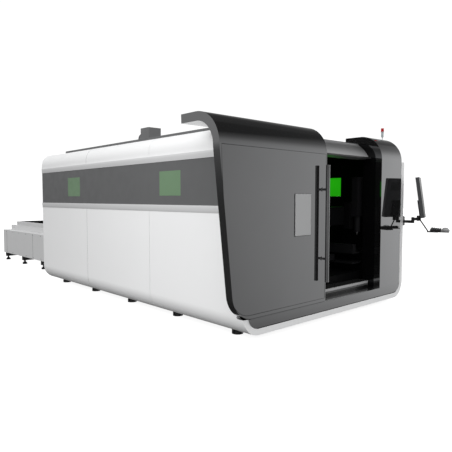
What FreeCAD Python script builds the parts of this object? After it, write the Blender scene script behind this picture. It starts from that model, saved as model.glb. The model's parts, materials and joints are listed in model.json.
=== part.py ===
import FreeCAD, Part
import math
import os
import re
import Sketcher

# Enclosed fibre laser cutting machine with a two-level exchange table at its rear.
# Layout frame, millimetres: x = 0 is the cabin's middle plane, y = 0 the front face of the
# sliding door, y grows towards the exchange table, and z = 0 is the workshop floor.
# The finished pieces are then moved so that the origin is under the middle of the whole machine.

DIMENSIONS = {
    # cabin shell
    "cabin_width": 3320, "cabin_length": 5220, "shell_front": 15, "wall_front": 115,
    "shell_bottom": 60, "shell_radius": 230, "shell_flat": 10, "shell_skin": 50,
    "shell_top": 2290, "crown_radius": 190,
    "lower_panel_top": 1352, "lower_trim_top": 1434, "band_top": 1963, "upper_trim_top": 2040,
    "trim_proud": 8, "trim_slope": 6, "band_recess": 2, "panel_gap": 4, "panel_count": 3,
    "window_front": 1075, "window_rear": "=cabin_length - 1510", "window_length": 435,
    "window_bottom": 1546, "window_height": 300, "pane_thickness": 8, "fit_gap": 0.3,
    # roof
    "roof_skin": 40, "roof_cover_height": 50, "roof_cover_front": "=canopy_rear + 14",
    "roof_cover_rear": "=cabin_length - 330", "roof_cover_radius": 160,
    "duct_x": -755, "duct_y": 3112, "duct_width": 246, "duct_length": 250, "duct_top": 2657,
    "duct_corner": 20, "spigot_radius": 90, "spigot_wall": 4, "spigot_length": 100,
    # front
    "lip_height": 70, "skirt_top": 256, "skirt_depth": 200, "skirt_lean": 22,
    "opening_left": -271, "opening_right": 1003, "column_right": "=cabin_width / 2 - 106",
    "roof_clearance": 3,
    "canopy_radius": 340, "canopy_top": "=shell_top + roof_clearance + canopy_thickness",
    "canopy_thickness": 95, "canopy_rear": 590,
    "door_bottom": 260, "door_corner": 290, "door_low_x": -1800, "door_bend_x": -2001,
    "door_bend_z": 2025, "door_top_x": -2013, "door_glass_left": -866, "door_glass_width": 280,
    "door_glass_bottom": 1086, "door_glass_height": 477,
    "door_glass_proud": 12, "door_glass_thickness": 24,
    "header_front": 198, "header_bottom": 2066, "header_rear": 392, "header_step": 8,
    "header_knee_y": 257, "header_knee_z": 2177, "header_radius": 400,
    "front_wall_skin": 50, "sill_front": 185, "sill_depth": 175, "sill_height": 90,
    "jamb_thickness": 30, "jamb_rear": 285,
    "rail_height": 22, "rail_depth": 31, "rail_inset": 20, "wall_margin": 4,
    "glide_length": 160, "glide_height": 30,
    # door handle
    "handle_x": -355, "handle_radius": 24, "handle_standoff": 78, "handle_bottom": 515,
    "handle_top": 1905, "handle_post_low": 791, "handle_post_high": 1619, "handle_post_radius": 14,
    # warning lamp
    "lamp_x": 1480, "lamp_y": 274, "lamp_stem_radius": 5, "lamp_stem_height": 36,
    "lamp_radius": 21, "lamp_base_height": 78, "lamp_lens_height": 52,
    # bed and feet
    "beam_inner": 1150, "beam_width": 270, "beam_bottom": 190, "beam_top": 716,
    "bed_front": 362, "bed_rear": "=cabin_length - 120", "cross_count": 4, "cross_width": 220,
    "cross_height": 260, "outrigger_height": 120,
    "foot_inset": 265, "foot_first": 376, "foot_count": 5,
    "foot_pitch": "=(cabin_length - 2 * foot_first) / (foot_count - 1)",
    "foot_radius": 65, "foot_height": 42, "foot_stem_radius": 20,
    # pallet rails, shared by the cabin and the table
    "ledge_inner": 860, "ledge_thickness": 28, "ledge_top": 598, "deck_inner": 880,
    "deck_thickness": 20, "upper_rail_outer": 953, "upper_rail_top": 849,
    # gantry
    "gantry_rail_x": 1300, "gantry_rail_width": 60, "gantry_rail_height": 60,
    "gantry_front": 520, "gantry_depth": 200, "gantry_bottom": 1130, "gantry_height": 260,
    "gantry_reach": 1400, "leg_width": 120, "leg_depth": 320,
    "head_x": 1010, "carriage_width": 260, "carriage_depth": 88, "carriage_overhang": 60,
    "slide_width": 150, "slide_depth": 98, "slide_bottom": 1250, "slide_top": 1816,
    "head_radius": 45, "head_bottom": 1030, "nozzle_tip": 985, "nozzle_radius": 22,
    "nozzle_tip_radius": 4,
    # exchange table
    "table_half_width": 1135, "table_rear": "=cabin_length + 3865", "table_bottom": 172, "table_skin": 30,
    "table_beam_height": 84, "table_beam_width": 100,
    "table_beam_first": "=cabin_length + 344",
    "table_beam_pitch": 1117, "table_beam_count": 4, "table_foot_inset": 45,
    "table_foot_radius": 50, "table_foot_height": 34,
    # pallets
    "pallet_half_width": 895, "pallet_front": "=cabin_length + 20", "pallet_length": 3592, "pallet_height": 90,
    "pallet_rim": 60, "pallet_lift": 0.4, "pallet_travel": "=pallet_front - 680", "slat_pitch": 120,
    "slat_thickness": 8, "slat_drop": 12,
    # operator station
    "bracket_length": 76, "bracket_height": 130, "bracket_bottom": 1110,
    "arm_pivot_x": "=cabin_width / 2 + 34",
    "arm_pivot_y": 33, "elbow_y": -120, "wrist_x": "=cabin_width / 2 + 88", "wrist_y": -176,
    "arm_width": 44, "arm_height": 40, "lower_arm_bottom": 1150, "arm_gap": 0.3,
    "station_yaw": 68, "screen_width": 380, "screen_height": 588, "screen_depth": 48,
    "screen_tilt": 8.2, "screen_bottom": 1228, "screen_bezel": 14, "screen_glass": 3,
    "screen_back": 44, "screen_corner": 12, "yoke_height": 250, "yoke_width": 120,
    "yoke_depth": 22, "yoke_margin": 8, "yoke_hub_height": 30, "yoke_apron_bottom": 1182, "stem_radius": 9,
    "tray_z": 1036, "tray_start": 160, "tray_foot": 110, "tray_foot_skin": 6,
    "tray_depth": 260, "tray_width": 480, "tray_thickness": 12, "tray_corner": 25,
    "keyboard_depth": 140, "keyboard_width": 400, "keyboard_height": 30,
    "mouse_x": 120, "mouse_width": 65, "mouse_depth": 92, "mouse_height": 36,
    # where the origin lies in the layout frame: worked out at the end
    "frame_x": 0, "frame_y": 0, "frame_z": 0,
}

DOC = FreeCAD.newDocument("laser_cutting_machine")
SHEET = DOC.addObject("Spreadsheet::Sheet", "Sizes")
PIECES = []
TURNED = []
CELLS = {}


def fill_sheet():
    """One row for each size; a size written as a formula follows other sizes."""
    for row, alias in enumerate(DIMENSIONS, start=1):
        SHEET.set(f"A{row}", alias)
        SHEET.setAlias(f"B{row}", alias)
        CELLS[alias] = f"B{row}"
    for alias, size in DIMENSIONS.items():
        SHEET.set(CELLS[alias], str(size))
    DOC.recompute()


def bound(formula):
    """The formula as an expression: every word that is an alias reads the sheet."""
    return re.sub(r"[a-z_]{2,}", lambda word: link(word.group()), str(formula))


def link(word):
    return f"Sizes.{word}" if word in CELLS else word


def number(formula):
    return float(SHEET.evalExpression(bound(formula)))


def bind(thing, **formulas):
    for name, formula in formulas.items():
        thing.setExpression(name, bound(formula))


def stand(thing, place, own=True):
    """Binds a placement; a sub-part also leaves the layout frame for the machine's own."""
    for axis, formula in zip("xyz", place):
        shift = f" - frame_{axis}" if own else ""
        thing.setExpression(f"Placement.Base.{axis}", bound(f"({formula}){shift}"))


def register(thing, name):
    thing.Label = name
    PIECES.append(thing)
    return thing


# ---- primitives ----------------------------------------------------------------------------

def block(name, x, y, z, own=True):
    """A box from (start, size) along each axis."""
    thing = DOC.addObject("Part::Box", name)
    bind(thing, Length=x[1], Width=y[1], Height=z[1])
    stand(thing, (x[0], y[0], z[0]), own)
    return register(thing, name) if own else thing


def rod(name, place, radius, length, axis="z", own=True):
    """A cylinder that starts at a place and runs along one axis."""
    turns = {"x": ("y", 90), "y": ("x", -90), "z": ("z", 0)}
    about, degrees = turns[axis]
    thing = DOC.addObject("Part::Cylinder", name)
    way = FreeCAD.Vector(about == "x", about == "y", about == "z")
    thing.Placement = FreeCAD.Placement(FreeCAD.Vector(), FreeCAD.Rotation(way, degrees))
    bind(thing, Radius=radius, Height=length)
    stand(thing, place, own)
    return register(thing, name) if own else thing


def joined(kind, name, things):
    """One sub-part from several shapes: Part::MultiFuse or, for separate solids, Part::Compound."""
    whole = DOC.addObject(kind, name)
    if kind == "Part::Compound":
        whole.Links = things
    else:
        whole.Shapes = things
    stand(whole, ("0", "0", "0"))
    return register(whole, name)


# ---- sketched profiles -----------------------------------------------------------------------

def corner_arc(before, corner, after, radius):
    """Where a rounded corner's arc starts and ends, its centre, and its start and end angles."""
    back = (before - corner).normalize()
    ahead = (after - corner).normalize()
    half = back.getAngle(ahead) / 2
    reach = radius / math.tan(half)
    centre = corner + (back + ahead).normalize() * (radius / math.sin(half))
    start = corner + back * reach
    end = corner + ahead * reach
    turn = (start - centre).cross(end - centre).z
    first, last = (start, end) if turn > 0 else (end, start)
    low = math.atan2(first.y - centre.y, first.x - centre.x)
    high = math.atan2(last.y - centre.y, last.x - centre.x)
    return start, end, centre, low, high, turn > 0


def fix_point(sketch, geometry, vertex, u, v):
    for kind, formula in (("DistanceX", u), ("DistanceY", v)):
        constraint = Sketcher.Constraint(kind, -1, 1, geometry, vertex, number(formula))
        index = sketch.addConstraint(constraint)
        sketch.setExpression(f"Constraints[{index}]", bound(formula))


def draw_loop(sketch, corners):
    """A closed loop of straight sides; a corner (u, v, radius) is rounded by a tangent arc."""
    points = [FreeCAD.Vector(number(corner[0]), number(corner[1]), 0) for corner in corners]
    count = len(points)
    arcs = {}
    for i, corner in enumerate(corners):
        if len(corner) == 3:
            sides = (points[i - 1], points[i], points[(i + 1) % count])
            arcs[i] = corner_arc(*sides, number(corner[2]))
    lines = []
    for i in range(count):
        following = (i + 1) % count
        start = arcs[i][1] if i in arcs else points[i]
        end = arcs[following][0] if following in arcs else points[following]
        lines.append(sketch.addGeometry(Part.LineSegment(start, end), False))
    for i, (u, v, *radius) in enumerate(corners):
        if not radius:
            sketch.addConstraint(Sketcher.Constraint("Coincident", lines[i - 1], 2, lines[i], 1))
            fix_point(sketch, lines[i], 1, u, v)
            continue
        start, end, centre, low, high, forward = arcs[i]
        circle = Part.Circle(centre, FreeCAD.Vector(0, 0, 1), number(radius[0]))
        arc = sketch.addGeometry(Part.ArcOfCircle(circle, low, high), False)
        entry, leave = (1, 2) if forward else (2, 1)
        sketch.addConstraint(Sketcher.Constraint("Tangent", lines[i - 1], 2, arc, entry))
        sketch.addConstraint(Sketcher.Constraint("Tangent", arc, leave, lines[i], 1))
        index = sketch.addConstraint(Sketcher.Constraint("Radius", arc, number(radius[0])))
        sketch.setExpression(f"Constraints[{index}]", bound(radius[0]))
        tip = sketch.addGeometry(Part.Point(points[i]), True)
        sketch.addConstraint(Sketcher.Constraint("PointOnObject", tip, 1, lines[i - 1]))
        sketch.addConstraint(Sketcher.Constraint("PointOnObject", tip, 1, lines[i]))
        fix_point(sketch, tip, 1, u, v)


def padded(name, plane, span, loops, own=True):
    """A body padded from an outline on XY, XZ or YZ, between two heights above that plane."""
    start, end = span
    body = DOC.addObject("PartDesign::Body", name)
    origin = next(f for f in body.Origin.OriginFeatures if f.Role == f"{plane}_Plane")
    sketch = body.newObject("Sketcher::SketchObject", f"{name}_outline")
    sketch.AttachmentSupport = [(origin, "")]
    sketch.MapMode = "FlatFace"
    away = "-1 * " if plane == "XZ" else ""
    sketch.setExpression("AttachmentOffset.Base.z", bound(f"{away}({start})"))
    for loop in loops:
        draw_loop(sketch, loop)
    pad = body.newObject("PartDesign::Pad", f"{name}_pad")
    pad.Profile = sketch
    pad.Reversed = plane == "XZ"
    bind(pad, Length=f"({end}) - ({start})")
    if not own:
        return body
    stand(body, ("0", "0", "0"))
    return register(body, name)


def rectangle(u, v):
    return [(u[0], v[0]), (u[1], v[0]), (u[1], v[1]), (u[0], v[1])]


HALF = "cabin_width / 2"
SIDES = (("left", "-1"), ("right", "1"))


def mirrored(side, corners):
    """Corners given for the right side, flipped for the left one."""
    return [(f"{side} * ({u})", v, *radius) for u, v, *radius in corners]


# ---- cabin shell -------------------------------------------------------------------------------

def panel_span(index):
    """Front and rear ends of one of the equal side panels, with a seam between neighbours."""
    length = "(cabin_length / panel_count)"
    front = f"{index} * {length} + panel_gap / 2" if index else "wall_front"
    last = index == int(number("panel_count")) - 1
    rear = "cabin_length" if last else f"{index + 1} * {length} - panel_gap / 2"
    return front, rear


def lower_panels(word, side):
    """White side panels: upright above, curled in under the cabin."""
    section = [
        (f"{HALF} - shell_radius - shell_flat", "shell_bottom"),
        (HALF, "shell_bottom", "shell_radius"),
        (HALF, "lower_panel_top"),
        (f"{HALF} - shell_skin", "lower_panel_top"),
        (f"{HALF} - shell_skin", "shell_bottom + shell_skin", "shell_radius - shell_skin"),
        (f"{HALF} - shell_radius - shell_flat", "shell_bottom + shell_skin"),
    ]
    for index in range(int(number("panel_count"))):
        name = f"{word}_lower_panel_{index + 1}"
        padded(name, "XZ", panel_span(index), [mirrored(side, section)])


def trims(word, side):
    """The two mouldings that frame the window band; each leans in towards its foot."""
    for name, low, high in (("lower", "lower_panel_top", "lower_trim_top"),
                            ("upper", "band_top", "upper_trim_top")):
        section = [
            (f"{HALF} - shell_skin", low),
            (f"{HALF} + trim_proud - trim_slope", low),
            (f"{HALF} + trim_proud", high),
            (f"{HALF} - shell_skin", high),
        ]
        span = ("wall_front", "cabin_length")
        padded(f"{word}_{name}_trim", "XZ", span, [mirrored(side, section)])


def window_band(word, side):
    """The dark band with its two window holes, and the panes that fill them."""
    outside = f"{HALF} - band_recess"
    inside = f"{HALF} - shell_skin"
    span = (f"-1 * ({outside})", f"-1 * ({inside})") if side == "-1" else (inside, outside)
    loops = [rectangle(("wall_front", "cabin_length"), ("lower_trim_top", "band_top"))]
    panes = []
    for index, front in enumerate(("window_front", "window_rear")):
        low = "window_bottom"
        high = "window_bottom + window_height"
        loops.append(rectangle((front, f"{front} + window_length"), (low, high)))
        middle = f"{side} * ({HALF} - (band_recess + shell_skin) / 2)"
        panes.append(block(
            f"{word}_pane_{index + 1}",
            (f"{middle} - pane_thickness / 2", "pane_thickness"),
            (f"{front} + fit_gap", "window_length - 2 * fit_gap"),
            (f"{low} + fit_gap", "window_height - 2 * fit_gap"), own=False))
    padded(f"{word}_window_band", "YZ", span, loops)
    joined("Part::Compound", f"{word}_windows", panes)


def upper_panels(word, side):
    """White quarter-round panels from the upper moulding to the roof."""
    edge = f"{HALF} - (shell_top - upper_trim_top) - fit_gap"
    section = [
        (HALF, "upper_trim_top"),
        (HALF, "shell_top", "crown_radius"),
        (edge, "shell_top"),
        (edge, "shell_top - roof_skin"),
        (f"{HALF} - shell_skin", "shell_top - roof_skin", "crown_radius - shell_skin"),
        (f"{HALF} - shell_skin", "upper_trim_top"),
    ]
    panels = []
    for index in range(int(number("panel_count"))):
        name = f"{word}_upper_panel_{index + 1}"
        panels.append(padded(name, "XZ", panel_span(index), [mirrored(side, section)], own=False))
    cut = DOC.addObject("Part::Cut", f"{word}_front_panel_cut")
    cut.Base = panels[0]
    cut.Tool = padded(f"{word}_front_slope", "YZ", (f"-1 * {HALF} - 10", f"{HALF} + 10"), [[
        ("0", "upper_trim_top"), ("wall_front", "upper_trim_top"), *header_slope(),
        ("header_rear", "canopy_top"), ("0", "canopy_top"),
    ]], own=False)
    joined("Part::Compound", f"{word}_upper_panels", [cut, *panels[1:]])


def header_slope():
    """The front slope shared by the header and the upper panels beside it."""
    return [
        ("header_front", "header_bottom + header_step"),
        ("header_knee_y", "header_knee_z", "header_radius"),
        ("header_rear", "shell_top"),
    ]


def roof():
    """White roof skin, and the dark raised cover behind the canopy with its rounded rear end."""
    edge = f"{HALF} - (shell_top - upper_trim_top)"
    block("roof_panel", (f"-1 * ({edge}) + fit_gap", f"2 * ({edge}) - 2 * fit_gap"),
          ("header_rear", "cabin_length - header_rear"), ("shell_top - roof_skin", "roof_skin"))
    outline = [
        (f"-1 * ({edge})", "roof_cover_front"),
        (edge, "roof_cover_front"),
        (edge, "roof_cover_rear", "roof_cover_radius"),
        (f"-1 * ({edge})", "roof_cover_rear", "roof_cover_radius"),
    ]
    padded("roof_cover", "XY", ("shell_top", "shell_top + roof_cover_height"), [outline])


def duct():
    """Fume extraction box on the roof, with an open round spigot at its rear."""
    base = "shell_top + roof_cover_height"
    box = padded("duct_body", "XY", (base, "duct_top"), [[
        ("duct_x", "duct_y", "duct_corner"),
        ("duct_x + duct_width", "duct_y", "duct_corner"),
        ("duct_x + duct_width", "duct_y + duct_length", "duct_corner"),
        ("duct_x", "duct_y + duct_length", "duct_corner"),
    ]], own=False)
    middle = ("duct_x + duct_width / 2", "duct_y + duct_length", f"({base} + duct_top) / 2")
    spigot = rod("duct_spigot", middle, "spigot_radius", "spigot_length", "y", own=False)
    whole = DOC.addObject("Part::MultiFuse", "duct_solid")
    whole.Shapes = [box, spigot]
    bore = rod("duct_bore", middle, "spigot_radius - spigot_wall", "spigot_length", "y", own=False)
    duct_box = DOC.addObject("Part::Cut", "duct_box")
    duct_box.Base = whole
    duct_box.Tool = bore
    stand(duct_box, ("0", "0", "0"))
    register(duct_box, "duct_box")


def rear_wall():
    """Closes the cabin's rear inside the side panels, with the slot that the pallets pass."""
    inner = f"{HALF} - shell_skin - fit_gap"
    low = "shell_bottom + shell_skin + fit_gap"
    high = "shell_top - roof_skin - fit_gap"
    foot = "shell_radius - shell_skin"
    crown = "crown_radius - shell_skin"
    outer = [
        (f"-1 * ({inner})", low, foot), (inner, low, foot),
        (inner, high, crown), (f"-1 * ({inner})", high, crown),
    ]
    slot = rectangle(("-1 * (upper_rail_outer + 47)", "upper_rail_outer + 47"),
                     ("ledge_top - ledge_thickness - 10", "upper_rail_top + 161"))
    padded("rear_wall", "XZ", ("cabin_length - shell_skin", "cabin_length"), [outer, slot])


# ---- front ---------------------------------------------------------------------------------------

SKIRT_CORNER = "skirt_top - shell_bottom - lip_height - fit_gap"


def front_lip():
    """White front edge of the shell: it runs under the skirt and up beside the right column.

    On the left it stops below the door, which slides in front of the wall there.
    """
    top = "upper_trim_top"
    outline = [
        (f"-1 * {HALF}", top), (f"-1 * {HALF}", "shell_bottom", "shell_radius"),
        (HALF, "shell_bottom", "shell_radius"), (HALF, top),
        ("column_right", top),
        ("column_right", "shell_bottom + lip_height", SKIRT_CORNER),
        (f"-1 * {HALF} + lip_height", "shell_bottom + lip_height", "shell_radius - lip_height"),
        (f"-1 * {HALF} + lip_height", top),
    ]
    whole = padded("lip_outline", "XZ", ("shell_front", "wall_front"), [outline], own=False)
    above = block("lip_door_side", (f"-1 * {HALF} - 10", HALF), ("shell_front - 10", "wall_front + 10"),
                  ("skirt_top", top), own=False)
    lip = DOC.addObject("Part::Cut", "front_lip")
    lip.Base = whole
    lip.Tool = above
    stand(lip, ("0", "0", "0"))
    register(lip, "front_lip")


def front_skirt():
    """Dark plinth under the door, its face leaning in towards the floor."""
    section = [
        ("0", "skirt_top"), ("skirt_depth", "skirt_top"),
        ("skirt_depth", "shell_bottom + lip_height + fit_gap"),
        ("skirt_lean", "shell_bottom + lip_height + fit_gap"),
        ("skirt_lean / 4", "(skirt_top + shell_bottom + lip_height) / 2", "400"),
    ]
    left = f"-1 * {HALF} + lip_height + fit_gap"
    right = "column_right - fit_gap"
    low = "shell_bottom + lip_height + fit_gap"
    bar = padded("skirt_bar", "YZ", (left, right), [section], own=False)
    corner = "shell_radius - lip_height"
    top = "skirt_top + shell_radius"
    face = padded("skirt_face", "XZ", ("-10", "skirt_depth + 10"), [[
        (left, top), (left, low, corner), (right, low, SKIRT_CORNER), (right, top),
    ]], own=False)
    skirt = DOC.addObject("Part::Common", "front_skirt")
    skirt.Base = bar
    skirt.Tool = face
    stand(skirt, ("0", "0", "0"))
    register(skirt, "front_skirt")


def canopy_section(foot):
    """Upright slab that bends back over the roof: the section of the door and of the column."""
    inner_top = "canopy_top - canopy_thickness"
    return [
        ("0", foot), ("0", "canopy_top", "canopy_radius"), ("canopy_rear", "canopy_top"),
        ("canopy_rear", inner_top),
        ("canopy_thickness", inner_top, "canopy_radius - canopy_thickness"),
        ("canopy_thickness", foot),
    ]


def door():
    """Sliding door: canopy section cut to its leaning left edge, with a pane that stands proud."""
    slab = padded("door_slab", "YZ", ("door_top_x - 10", "opening_left"),
                  [canopy_section("door_bottom")], own=False)
    outline = [
        ("opening_left", "door_bottom"), ("door_low_x", "door_bottom", "door_corner"),
        ("door_bend_x", "door_bend_z", "900"), ("door_top_x", "canopy_top + 10"),
        ("opening_left", "canopy_top + 10"),
    ]
    hole = rectangle(("door_glass_left", "door_glass_left + door_glass_width"),
                     ("door_glass_bottom", "door_glass_bottom + door_glass_height"))
    face = padded("door_face", "XZ", ("-10", "canopy_rear + 10"), [outline, hole], own=False)
    shell = DOC.addObject("Part::Common", "door_shell")
    shell.Base = slab
    shell.Tool = face
    stand(shell, ("0", "0", "0"))
    register(shell, "door_shell")
    block("door_glass",
          ("door_glass_left + fit_gap", "door_glass_width - 2 * fit_gap"),
          ("-1 * door_glass_proud", "door_glass_thickness"),
          ("door_glass_bottom + fit_gap", "door_glass_height - 2 * fit_gap"))


def door_handle():
    """Long upright bar on two posts."""
    bar = rod("handle_rod", ("handle_x", "-1 * handle_standoff", "handle_bottom"),
              "handle_radius", "handle_top - handle_bottom", own=False)
    posts = [
        rod(f"handle_post_{height.rsplit('_', 1)[1]}", ("handle_x", "-1 * handle_standoff", height),
            "handle_post_radius", "handle_standoff", "y", own=False)
        for height in ("handle_post_low", "handle_post_high")
    ]
    joined("Part::MultiFuse", "door_handle", [bar, *posts])


def door_running_gear():
    """Rail along the header, and the two glides on the back of the door that run on it."""
    left = f"-1 * {HALF} + shell_skin + rail_inset"
    block("door_rail", (left, f"opening_right - ({left})"),
          ("header_front - rail_depth", "rail_depth"), ("header_bottom", "rail_height"))
    foot_z = "header_bottom + rail_height + fit_gap"
    rise = f"({foot_z} + glide_height - canopy_top + canopy_radius)"
    inner = "(canopy_radius - canopy_thickness)"
    door_back = f"(canopy_radius - sqrt({inner} ^ 2 - {rise} ^ 2) + fit_gap)"
    glides = [
        block(f"glide_{index}", (start, "glide_length"),
              (door_back, f"header_front - rail_depth / 4 - {door_back}"),
              (foot_z, "glide_height"), own=False)
        for index, start in enumerate((f"-1 * {HALF} + 110", "opening_left - glide_length - 60"))
    ]
    joined("Part::Compound", "door_glides", glides)


def header():
    """Curved fascia between the front opening and the roof; it runs on behind the door."""
    section = [
        ("header_front", "header_bottom"), *header_slope(), ("header_rear", "header_bottom"),
    ]
    left = f"-1 * {HALF} + shell_skin + fit_gap"
    bar = padded("header_bar", "YZ", (left, "opening_right"), [section], own=False)
    crown = "shell_top - upper_trim_top - shell_skin"
    face = padded("header_face", "XZ", ("header_front - 10", "header_rear + 10"), [[
        (left, "header_bottom - 10"), ("opening_right", "header_bottom - 10"),
        ("opening_right", "canopy_top"),
        (f"{left} + {crown}", "canopy_top"),
        (f"{left} + {crown}", "shell_top - roof_skin"),
        (left, "shell_top - roof_skin", "crown_radius - shell_skin"),
    ]], own=False)
    whole = DOC.addObject("Part::Common", "header")
    whole.Base = bar
    whole.Tool = face
    stand(whole, ("0", "0", "0"))
    register(whole, "header")


def fixed_front():
    """What stays put at the front: wall behind the door, right column, jamb and sill track."""
    left = f"-1 * {HALF} + shell_skin + wall_margin"
    block("front_wall", (left, f"opening_left - ({left})"), ("wall_front", "front_wall_skin"),
          ("skirt_top + fit_gap", "header_bottom - skirt_top - 2 * fit_gap"))
    padded("right_column", "YZ", ("opening_right", "column_right"),
           [canopy_section("skirt_top + fit_gap")])
    jamb = [
        ("canopy_thickness + fit_gap", "skirt_top + fit_gap"),
        ("canopy_thickness + fit_gap", "canopy_top - canopy_thickness - fit_gap",
         "canopy_radius - canopy_thickness"),
        ("header_rear - fit_gap", "canopy_top - canopy_thickness - fit_gap"),
        ("header_rear - fit_gap", "header_bottom"),
        ("jamb_rear", "header_bottom"),
        ("jamb_rear", "skirt_top + fit_gap"),
    ]
    span = ("opening_right + fit_gap", "opening_right + jamb_thickness")
    padded("right_jamb", "YZ", span, [jamb])
    block("sill_track", ("opening_left - 60", "opening_right - opening_left + 60"),
          ("sill_front", "sill_depth"), ("skirt_top", "sill_height"))


def warning_lamp():
    """Small stack light on a thin stem, on the right end of the canopy."""
    curve = "canopy_radius - lamp_y - lamp_stem_radius"
    base = f"canopy_top - canopy_radius + sqrt(canopy_radius ^ 2 - ({curve}) ^ 2)"
    body_foot = f"{base} + lamp_stem_height"
    stem = rod("lamp_stem", ("lamp_x", "lamp_y", base), "lamp_stem_radius",
               "lamp_stem_height", own=False)
    body = rod("lamp_can", ("lamp_x", "lamp_y", body_foot), "lamp_radius - 3",
               "lamp_base_height", own=False)
    joined("Part::MultiFuse", "lamp_base", [stem, body])
    rod("lamp_lens", ("lamp_x", "lamp_y", f"{body_foot} + lamp_base_height"), "lamp_radius",
        "lamp_lens_height")


# ---- bed and feet --------------------------------------------------------------------------------

def bed():
    """Two long box beams, the cross beams between them, and the levelling feet below."""
    beams = [
        block(f"{word}_bed_beam", (f"{side} * (beam_inner + beam_width / 2) - beam_width / 2",
                                   "beam_width"),
              ("bed_front", "bed_rear - bed_front"), ("beam_bottom", "beam_top - beam_bottom"),
              own=False)
        for word, side in SIDES
    ]
    joined("Part::Compound", "bed_beams", beams)
    pitch = "((bed_rear - bed_front - cross_width) / (cross_count - 1))"
    crosses = [
        block(f"bed_cross_{index}", ("-1 * beam_inner", "2 * beam_inner"),
              (f"bed_front + {index} * {pitch}", "cross_width"), ("beam_bottom", "cross_height"),
              own=False)
        for index in range(int(number("cross_count")))
    ]
    for word, side in SIDES:
        span = f"({HALF} - shell_skin - fit_gap - beam_inner - beam_width)"
        start = f"{side} * (beam_inner + beam_width + {span} / 2) - {span} / 2"
        crosses += [
            block(f"outrigger_{word}_{index}", (start, span),
                  (f"bed_front + {index} * {pitch}", "cross_width"),
                  ("shell_bottom + shell_radius", "outrigger_height"), own=False)
            for index in range(int(number("cross_count")))
        ]
    joined("Part::Compound", "bed_cross_beams", crosses)
    feet = []
    for word, side in SIDES:
        for index in range(int(number("foot_count"))):
            place = (f"{side} * ({HALF} - foot_inset)", f"foot_first + {index} * foot_pitch")
            feet.append(foot(f"{word}_foot_{index}", place, "foot_radius", "foot_height",
                             "foot_stem_radius", "beam_bottom"))
    joined("Part::Compound", "cabin_feet", feet)


def foot(name, place, radius, height, stem_radius, top):
    """A levelling foot: a round pad with its stem up to what it carries."""
    pad = rod(f"{name}_pad", (*place, "0"), radius, height, own=False)
    stem = rod(f"{name}_stem", (*place, "0"), stem_radius, top, own=False)
    whole = DOC.addObject("Part::MultiFuse", name)
    whole.Shapes = [pad, stem]
    return whole


def pallet_rails(name, front, rear, outer, ledge_outer):
    """Both levels of pallet rail along one stretch: ledge, deck strip and upper rail, each side."""
    strips = []
    length = f"({rear}) - ({front})"
    levels = (
        ("ledge", "ledge_inner", ledge_outer, "ledge_top - ledge_thickness", "ledge_thickness"),
        ("deck", "deck_inner", outer, "beam_top", "deck_thickness"),
        ("rail", "deck_inner", "upper_rail_outer", "beam_top + deck_thickness",
         "upper_rail_top - beam_top - deck_thickness"),
    )
    for word, side in SIDES:
        for level, inside, outside, foot_z, height in levels:
            width = f"(({outside}) - ({inside}))"
            start = f"{side} * (({inside}) + ({outside})) / 2 - {width} / 2"
            strips.append(block(f"{name}_{level}_{word}", (start, width), (front, length),
                                (foot_z, height), own=False))
    joined("Part::Compound", name, strips)


# ---- gantry --------------------------------------------------------------------------------------

def gantry():
    """Rails on the bed, and the bridge on them with its carriage, lifting slide and head."""
    rail_top = "beam_top + gantry_rail_height"
    rails = [
        block(f"gantry_rail_{word}",
              (f"{side} * gantry_rail_x - gantry_rail_width / 2", "gantry_rail_width"),
              ("bed_front", "bed_rear - bed_front"), ("beam_top", "gantry_rail_height"), own=False)
        for word, side in SIDES
    ]
    joined("Part::Compound", "gantry_rails", rails)
    legs = [
        block(f"gantry_leg_{word}", (f"{side} * gantry_rail_x - leg_width / 2", "leg_width"),
              ("gantry_front + (gantry_depth - leg_depth) / 2", "leg_depth"),
              (f"{rail_top} + fit_gap", f"gantry_bottom - ({rail_top}) - fit_gap"), own=False)
        for word, side in SIDES
    ]
    joined("Part::Compound", "gantry_legs", legs)
    block("gantry_beam", ("-1 * gantry_reach", "2 * gantry_reach"),
          ("gantry_front", "gantry_depth"), ("gantry_bottom", "gantry_height"))
    block("carriage", ("head_x - carriage_width / 2", "carriage_width"),
          ("gantry_front - fit_gap - carriage_depth", "carriage_depth"),
          ("gantry_bottom - carriage_overhang", "gantry_height + 2 * carriage_overhang"))
    slide_rear = "gantry_front - 2 * fit_gap - carriage_depth"
    block("lifting_slide", ("head_x - slide_width / 2", "slide_width"),
          (f"{slide_rear} - slide_depth", "slide_depth"),
          ("slide_bottom", "slide_top - slide_bottom"))
    head_y = f"{slide_rear} - slide_depth / 2"
    rod("cutting_head", ("head_x", head_y, "head_bottom"), "head_radius",
        "slide_bottom - head_bottom")
    nozzle = DOC.addObject("Part::Cone", "nozzle")
    bind(nozzle, Radius1="nozzle_tip_radius", Radius2="nozzle_radius",
         Height="head_bottom - nozzle_tip")
    stand(nozzle, ("head_x", head_y, "nozzle_tip"))
    register(nozzle, "nozzle")


# ---- exchange table ------------------------------------------------------------------------------

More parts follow.
